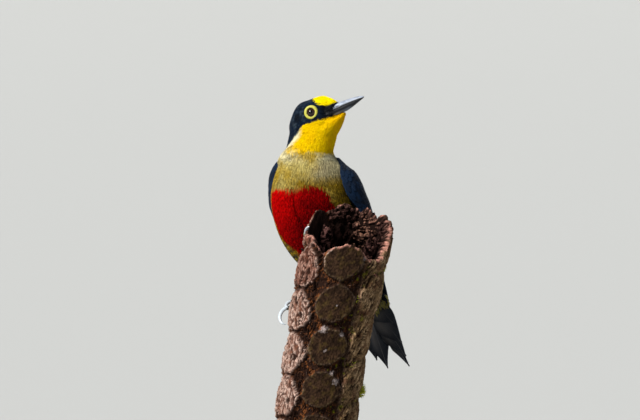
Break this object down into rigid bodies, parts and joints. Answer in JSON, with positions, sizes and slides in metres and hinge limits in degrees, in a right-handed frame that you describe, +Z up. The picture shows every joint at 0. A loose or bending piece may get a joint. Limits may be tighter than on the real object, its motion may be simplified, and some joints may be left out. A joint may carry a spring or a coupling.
{
  "type": "woodpecker model on a stem perch",
  "caption": "Life-size woodpecker clinging to a broken stem with round leaf scars, head turned, held by a plain display stand.",
  "frame": {"origin": "centre of the underside of the stand's base", "axes": "+Z up, +X to the right of a viewer who faces the bird's breast, +Y away from that viewer, the longest extent along Z"},
  "size_m": [0.128, 0.1147, 0.2354],
  "materials": {
    "yellow_plumage": "golden-yellow feathers",
    "buff_plumage": "olive-buff feathers",
    "red_plumage": "bright red feathers",
    "blue_black_plumage": "blue-black feathers with a gloss",
    "black_plumage": "black feathers",
    "horn": "horn-dark bill, satin",
    "eye": "dark brown, wet gloss",
    "eye_skin": "pale yellow bare skin",
    "toe_skin": "grey-olive scaled skin",
    "claw": "pale grey horn",
    "bark": "rough brown bark with round leaf scars",
    "plinth": "dark stained wood, satin",
    "steel": "brushed"
  },
  "bodies": {
    "root": {"bill_lower": "horn", "bill_upper": "horn", "claw_left_front": "claw", "claw_left_hind": "claw", "claw_left_inner": "claw", "claw_left_outer": "claw", "claw_right_front": "claw", "claw_right_hind": "claw", "claw_right_inner": "claw", "claw_right_outer": "claw", "eye_left": "eye", "eye_right": "eye", "eye_ring_left": "eye_skin", "eye_ring_right": "eye_skin", "head": "yellow_plumage", "neck": "yellow_plumage", "perch_stem": "bark", "shank_left": "toe_skin", "shank_right": "toe_skin", "stand_base": "plinth", "stand_collar": "steel", "stand_rod": "steel", "tail": "black_plumage", "thigh_left": "buff_plumage", "thigh_right": "buff_plumage", "toe_left_front": "toe_skin", "toe_left_hind": "toe_skin", "toe_left_inner": "toe_skin", "toe_left_outer": "toe_skin", "toe_right_front": "toe_skin", "toe_right_hind": "toe_skin", "toe_right_inner": "toe_skin", "toe_right_outer": "toe_skin", "trunk": "red_plumage", "wing_left": "blue_black_plumage", "wing_right": "blue_black_plumage"}
  },
  "joints": []
}
